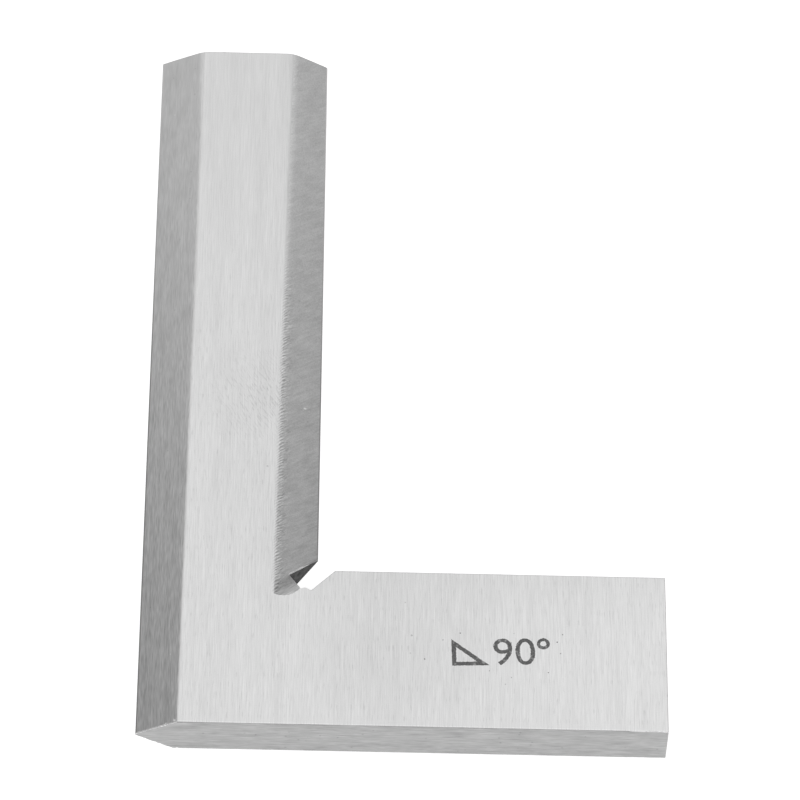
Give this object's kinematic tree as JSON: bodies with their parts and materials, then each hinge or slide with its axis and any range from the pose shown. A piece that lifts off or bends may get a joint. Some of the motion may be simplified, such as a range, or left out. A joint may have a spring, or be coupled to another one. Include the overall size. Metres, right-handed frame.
{
  "type": "knife-edge square",
  "caption": "Flat L-shaped steel square: a blade bevelled to a knife edge along both sides, a plain rectangular stock, and a relief slot in the inner corner.",
  "frame": {"origin": "on the back face, under the middle of the square's box", "axes": "+X along the stock, away from the outer knife edge; +Y along the blade to its tip; +Z out of the front face"},
  "size_m": [0.05, 0.08, 0.0047],
  "materials": {
    "steel": "satin",
    "etched_mark": "matte"
  },
  "bodies": {
    "root": {"square_body": "steel"}
  },
  "joints": []
}
